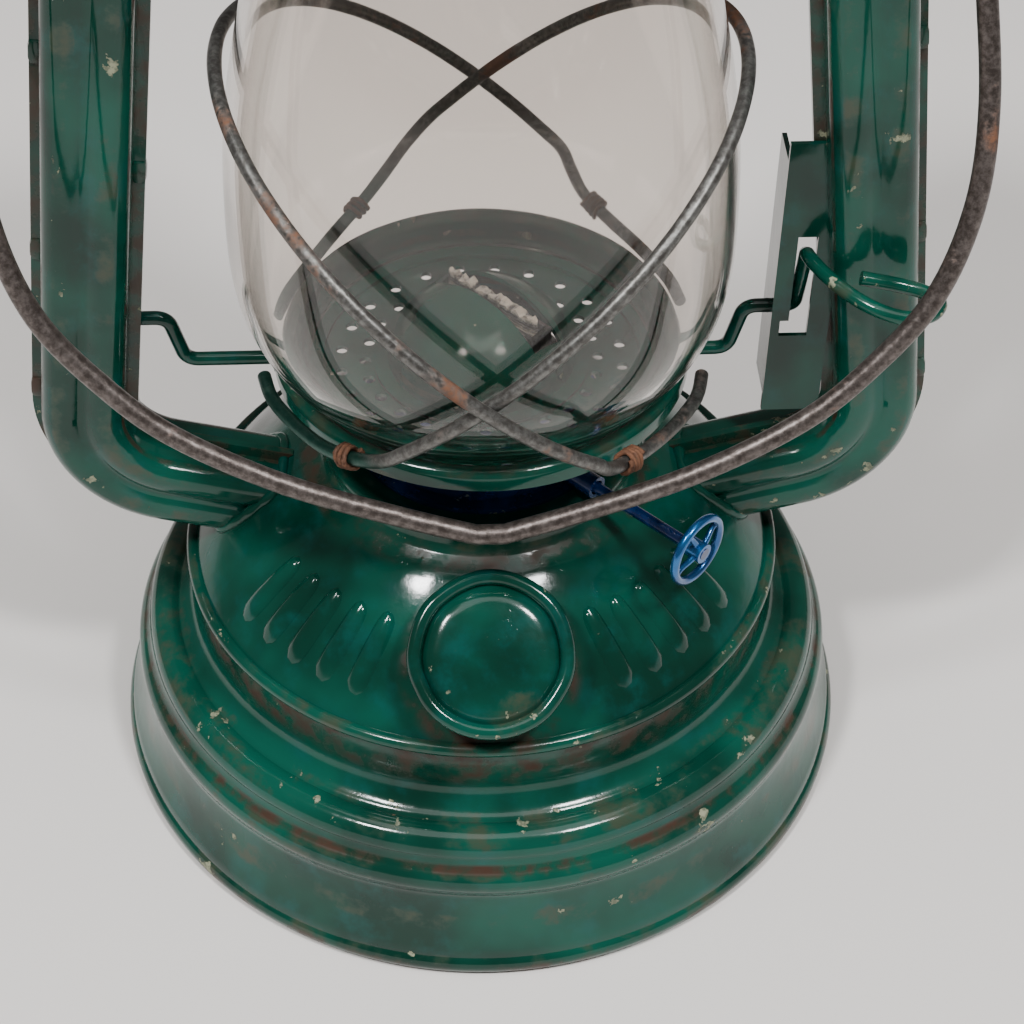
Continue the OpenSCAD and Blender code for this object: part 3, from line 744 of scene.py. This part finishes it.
# %% Globe carrier
SEAT_Z, LIP_R = 81.3, 34.3
carrier_line = ([(26.6, SEAT_Z), (28.6, SEAT_Z), (30.4, SEAT_Z), (30.9, SEAT_Z + 0.25),
                 (31.2, SEAT_Z + 0.7)]
                + arc((LIP_R - 1.5, 84.8), 1.5, 180, 0, 18) + [(LIP_R, 84), (LIP_R, 82.8)])
FOOT_LINE = ((LIP_R - 0.8, 82.9), (LIP_R, 82.9), (LIP_R, 80.1), (LIP_R - 0.4, 79.8),
             (LIP_R - 0.8, 80.1))
feet = []
for side in (-1, 1):
    grid = []
    for a in np.radians(np.linspace(-3.4, 28, 9)):
        for r, z in FOOT_LINE:
            grid.append(Vector((side * r * math.cos(a), r * math.sin(a), z)) * MM)
    quads = [tuple(i * 5 + k for k in (j, (j + 1) % 5))
             + tuple((i + 1) * 5 + k for k in ((j + 1) % 5, j))
             for i in range(8) for j in range(5)] + [(0, 1, 2, 3, 4), (44, 43, 42, 41, 40)]
    feet.append((grid, quads if side < 0 else [q[::-1] for q in quads]))
carrier_skin = turned(thicken(carrier_line, SHEET), 192, dents=0.15, seed=6.1)
carrier = new_piece("carrier_ring", *joined([carrier_skin] + feet),
                    "globe_carriage", "enamel", carrier_lacquer)
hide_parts("globe_carrier")

# %% Glass globe
GLASS = 1.7
globe_line = smooth([(25, 186.2), (25.5, 181), (30.4, 166), (35.3, 149), (38.9, 130), (40, 112),
                     (39.4, 101), (36.9, 93.4), (33.4, 88.6), (31, 85.6), (30.3, 81.36)], 8)
globe = new_piece("globe_shell", *turned(thicken(globe_line, GLASS), 160),
                  "globe_carriage", "globe_glass", globe_glass)
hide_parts("globe")

# %% [markdown]
# The two guard wires are one bent rod each. Each leans like a hoop, high on one side of
# the globe, and they cross in front and behind. Their ends stop just outside the
# carrier's lip without touching it. Near each end a few turns of rusty tie wire go
# round the guard wire alone.

# %% Guard wires
GUARD_R = 1.15
HOOP_HALF, HOOP_Z, HOOP_SLOPE = 39.3, 107.5, 0.85


def guard_path(side, reach, first, tail):
    hoop = [(HOOP_HALF * math.cos(a), reach * math.sin(a),
             HOOP_Z - HOOP_SLOPE * HOOP_HALF * math.cos(a))
            for a in np.radians(np.arange(first, 361 - first, 6))]
    points = [(x, -y, z) for x, y, z in tail[::-1]] + hoop + tail
    return [(side * p[0], p[1], p[2]) for p in smooth(points, 4)]


LEFT_TAIL = [(17.6, -38.4, 91), (19.8, -34.6, 88), (24, -29.6, 86), (29.5, -22.5, 84.6),
             (33.9, -15, 83.8), (35.5, -9, 83.5)]
RIGHT_TAIL = [(12.4, -39.4, 96.4), (16, -37, 92.4), (20.4, -32.6, 88.8), (25.4, -27, 86.2),
              (30.2, -19.8, 84.6), (33.9, -13, 83.8), (35.5, -7, 83.5)]
for name, side, reach, first, tail in (("left", 1, 44.5, 66, LEFT_TAIL),
                                       ("right", -1, 42.1, 78, RIGHT_TAIL)):
    wobble = lambda i, s=side: GUARD_R * (0.97 + 0.03 * noise.noise(Vector((i * 0.2, s, 0))))
    guard = new_piece(f"guard_hoop_{name}", *rod(guard_path(side, reach, first, tail), wobble, 16),
                      "globe_carriage", "bare_steel", guard_steel)
    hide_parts(f"guard_wire_{name}")


def wrap(start, end, turns, coil, wire):
    """A few turns of tie wire round the line from start to end."""
    start, end = Vector(start), Vector(end)
    along = (end - start).normalized()
    side = along.orthogonal().normalized()
    up = along.cross(side)
    path = []
    for i in range(turns * 14 + 1):
        a = 2 * math.pi * i / 14
        swell = coil * (1 + 0.06 * math.sin(i * 1.7))
        path.append(start + (end - start) * i / (turns * 14)
                    + swell * (math.cos(a) * side + math.sin(a) * up))
    return rod(path, wire, 10)


ties = []
for y in (-1, 1):
    ties.append(wrap((20.4, y * 33.9, 87.7), (22.6, y * 31.3, 86.6), 4, 1.6, 0.42))
    ties.append(wrap((-20.4, y * 32.6, 88.8), (-22.4, y * 30.4, 87.7), 3, 1.6, 0.42))
new_piece("guard_ties", *joined(ties), "globe_carriage", "bare_steel", tie_steel)

# %% [markdown]
# ## Lift lever
# The lever is one painted rod: a thumb loop in front of the tube, an arm that works in
# the bracket's slot, a journal and a crank with its pin under the carrier's foot. Its
# mate on the far side is only a journal and a crank.

# %% Lift lever and its mate
LEVER_Y, LEVER_Z, CRANK_R, SLOT_X, LEVER_R = 3.0, 87.9, 9.6, 51.9, 1.2
PIN_Y = LEVER_Y + CRANK_R * math.cos(math.radians(-86))
PIN_Z = LEVER_Z + CRANK_R * math.sin(math.radians(-86))


def rounded(points, radius, steps):
    pts = [Vector(p) for p in points]
    out = [pts[0]]
    for before, corner, after in zip(pts, pts[1:], pts[2:]):
        a = corner + radius * (before - corner).normalized()
        b = corner + radius * (after - corner).normalized()
        out += [(1 - t) ** 2 * a + 2 * t * (1 - t) * corner + t * t * b
                for t in np.linspace(0, 1, steps + 1)]
    return out + [pts[-1]]


def on_arm(r):
    return (SLOT_X, LEVER_Y - 0.292 * r, LEVER_Z + 0.956 * r)


thumb = [on_arm(15), (52.6, -4.5, 102.6), (55.5, -9.6, 102.2), (60, -14.2, 101.5), (65, -16.6, 101),
         (69.3, -16.2, 101.1), (71, -13.9, 101.7), (68.6, -11.9, 102.4), (64, -10.9, 103.2),
         (59, -10.4, 104.1)]
lever_path = smooth(thumb[::-1], 8) + rounded([on_arm(12), on_arm(0), (43.6, LEVER_Y, LEVER_Z),
                                              (41.4, PIN_Y, PIN_Z), (30.6, PIN_Y, PIN_Z)], 2.2, 10)
lever = new_piece("lever_rod", *rod(lever_path, LEVER_R, 16), "lift_lever", "enamel", lever_lacquer)
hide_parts("lift_wire")
link_path = rounded([(-59, LEVER_Y, LEVER_Z), (-51.4, LEVER_Y, LEVER_Z), (-49.2, PIN_Y, PIN_Z),
                     (-30.6, PIN_Y, PIN_Z)], 2.2, 10)
link = new_piece("link_rod", *rod(link_path, LEVER_R, 16), "lift_crank", "enamel", lever_lacquer)
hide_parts("lift_link")

# %% [markdown]
# ## Chimney, hood and top ring
# The bell sits on the glass, the chimney runs up through the crown, and the hood keeps
# the rain out. They are turned skins like the fount, so the hood's crown is smooth.

# %% Bell and hood
bell_line = ([(17.85, 202), (17.85, 200), (17.85, 198)]
             + smooth([(17.85, 197.4), (18.6, 195.4), (20.4, 192.8), (22, 190.4), (22.6, 188.2)], 5)
             + [(22.9, 187.5), (23.4, 187.3), (27.2, 187.3), (27.8, 187.1), (28, 186.6),
                (28, 183.8)])
bell = new_piece("bell_shell", *turned(thicken(bell_line, SHEET), 160, dents=0.12, seed=3.3),
                 "chimney_top", "enamel", sheet_lacquer)
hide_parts("globe_bell")
hood_line = [(0.01, 253.6), (3, 253.5)] + arc((3, 219.5), 34, 88, 52, 26) + [(29, 243.6)]
hood_rim = [(29.2 + math.cos(a), 243.4 + math.sin(a)) for a in full_turn(16)]
hood_skin = turned(thicken(hood_line, SHEET), 160, dents=0.25, seed=7.7)
hood = new_piece("hood_shell", *joined([hood_skin, turned(hood_rim, 160)]),
                 "chimney_top", "enamel", sheet_lacquer)
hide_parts("canopy_hood")

# %% [markdown]
# ## Carrying bail
# The bail is the thickest wire. Its ends turn into the ears, its arms bow out round the
# tubes, and a hand has left a shallow kink at the lowest place.

# %% Bail
BAIL_Z, BAIL_LEAN = 190.0, math.radians(-19.8)
half = ([(60.7, 0)] + arc((63, 3), 3, -90, 0, 10)
        + smooth([(66.2, 6), (67.3, 13), (70.2, 34), (72, 52), (71, 67), (66, 81), (57, 92),
                  (47, 100.4),
                  (31, 108.6), (14, 114.4), (2.2, 117.8)], 8))
bail_seat = Matrix.Translation((0, 0, BAIL_Z * MM)) @ Matrix.Rotation(BAIL_LEAN, 4, "X")
bail_path = [(x, 0, -d) for x, d in half] + [(-x, 0, -d) for x, d in half[::-1]]
bail = new_piece("bail_rod", *place(rod(bail_path, 1.6, 20), bail_seat),
                 "carrying_bail", "bare_steel", bail_steel)
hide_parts("bail")

# %% [markdown]
# ## Stage
# A plain pale floor and a dim warm room, so the greens stay deep. Two smallish lights
# high on the left and right give the lacquer and the glass their paired highlights.

# %% Floor, sky and lights
floor_mesh = bpy.data.meshes.new("floor")
floor_mesh.from_pydata([(-3, -3, 0), (3, -3, 0), (3, 3, 0), (-3, 3, 0)], [], [(0, 1, 2, 3)])
floor = bpy.data.objects.new("floor", floor_mesh)
bpy.context.scene.collection.objects.link(floor)
floor_finish = Finish("pale_floor")
floor.data.materials.append(floor_finish.done(Base_Color=(0.80, 0.77, 0.745, 1), Roughness=0.9))

sky = bpy.data.worlds.new("sky")
sky.use_nodes = True
background = sky.node_tree.nodes["Background"]
background.inputs["Color"].default_value = (1, 0.96, 0.92, 1)
background.inputs["Strength"].default_value = 0.18
bpy.context.scene.world = sky


def soft_light(name, turn, rise, away, size, power, aim=(0, 0, 0.08)):
    data = bpy.data.lights.new(name, "AREA")
    data.size, data.energy = size, power
    light = bpy.data.objects.new(name, data)
    bpy.context.scene.collection.objects.link(light)
    turn, rise = math.radians(turn), math.radians(rise)
    light.location = Vector(aim) + away * Vector((math.cos(rise) * math.sin(turn),
                                                  -math.cos(rise) * math.cos(turn), math.sin(rise)))
    light.rotation_euler = (Vector(aim) - light.location).to_track_quat("-Z", "Y").to_euler()


soft_light("left_light", -44, 58, 1.1, 0.13, 9)
soft_light("right_light", 40, 60, 1.1, 0.13, 8)
soft_light("top_light", 10, 84, 1.2, 0.8, 5)

# %% Camera
PITCH, YAW, ROLL, TURN = map(math.radians, (41.80, 1.06, 0.75, 2.0))
view = Vector((math.sin(YAW) * math.cos(PITCH), math.cos(YAW) * math.cos(PITCH), -math.sin(PITCH)))
right = Vector((math.cos(YAW), -math.sin(YAW), 0))
up = right.cross(view)
right, up = (math.cos(ROLL) * right + math.sin(ROLL) * up,
             math.cos(ROLL) * up - math.sin(ROLL) * right)
swing = Matrix.Rotation(-TURN, 3, "Z")
right, up, view = swing @ right, swing @ up, swing @ view
camera_data = bpy.data.cameras.new("camera")
camera_data.sensor_width, camera_data.lens, camera_data.shift_y = 36.0, 77.34, -0.119
camera = bpy.data.objects.new("camera", camera_data)
bpy.context.scene.collection.objects.link(camera)
camera.matrix_world = Matrix.Translation((-0.00963, -0.27571, 0.31980)) @ Matrix(
    (right, up, -view)).transposed().to_4x4()
bpy.context.scene.camera = camera
